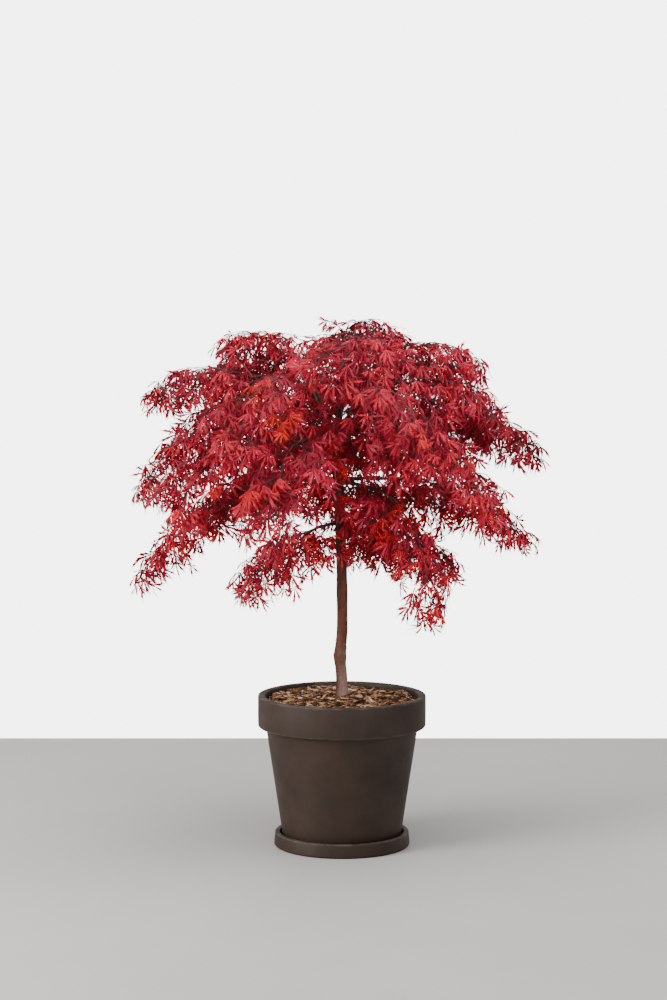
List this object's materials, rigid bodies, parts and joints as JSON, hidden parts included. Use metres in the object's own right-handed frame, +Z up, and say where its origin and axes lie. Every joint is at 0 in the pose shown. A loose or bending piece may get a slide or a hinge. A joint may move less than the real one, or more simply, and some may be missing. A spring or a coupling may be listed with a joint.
{
  "type": "potted japanese maple",
  "caption": "Weeping Japanese maple with finely cut red leaves, grafted on a clear stem, in a round brown pot on its saucer.",
  "frame": {"origin": "centre of the saucer's flat underside", "axes": "+Z up along the pot's axis and the stem, -Y towards the plant's best side, +X to the right seen from there"},
  "size_m": [1.183, 1.0191, 1.4374],
  "materials": {
    "pottery": "matte dark taupe brown, cast with a faint grain",
    "compost": "moist dark potting compost",
    "bark_chips": "shredded bark, dry, tan to dark brown",
    "bark": "smooth reddish brown bark with fine cracks",
    "foliage": "thin deep red leaves with a soft sheen"
  },
  "bodies": {
    "root": {"saucer": "pottery", "pot": "pottery", "compost": "compost", "bark_mulch": "bark_chips", "stem": "bark", "bough_crest_mid": "bark", "bough_crest_left": "bark", "bough_crest_right": "bark", "bough_crest_front": "bark", "bough_crest_back": "bark", "bough_upper_left": "bark", "bough_upper_front_left": "bark", "bough_upper_front_right": "bark", "bough_upper_right": "bark", "bough_upper_back_right": "bark", "bough_upper_back": "bark", "bough_upper_back_left": "bark", "bough_middle_left": "bark", "bough_middle_front_left": "bark", "bough_middle_front": "bark", "bough_middle_front_right": "bark", "bough_middle_right": "bark", "bough_middle_back_right": "bark", "bough_middle_back": "bark", "bough_lower_left": "bark", "bough_lower_front_right": "bark", "bough_lower_right": "bark", "bough_lower_back": "bark", "bough_lower_back_left": "bark", "bough_low_left": "bark", "bough_low_right": "bark", "foliage_crest_mid": "foliage", "foliage_crest_left": "foliage", "foliage_crest_right": "foliage", "foliage_crest_front": "foliage", "foliage_crest_back": "foliage", "foliage_upper_left": "foliage", "foliage_upper_front_left": "foliage", "foliage_upper_front_right": "foliage", "foliage_upper_right": "foliage", "foliage_upper_back_right": "foliage", "foliage_upper_back": "foliage", "foliage_upper_back_left": "foliage", "foliage_middle_left": "foliage", "foliage_middle_front_left": "foliage", "foliage_middle_front": "foliage", "foliage_middle_front_right": "foliage", "foliage_middle_right": "foliage", "foliage_middle_back_right": "foliage", "foliage_middle_back": "foliage", "foliage_lower_left": "foliage", "foliage_lower_front_right": "foliage", "foliage_lower_right": "foliage", "foliage_lower_back": "foliage", "foliage_lower_back_left": "foliage", "foliage_low_left": "foliage", "foliage_low_right": "foliage"}
  },
  "joints": []
}
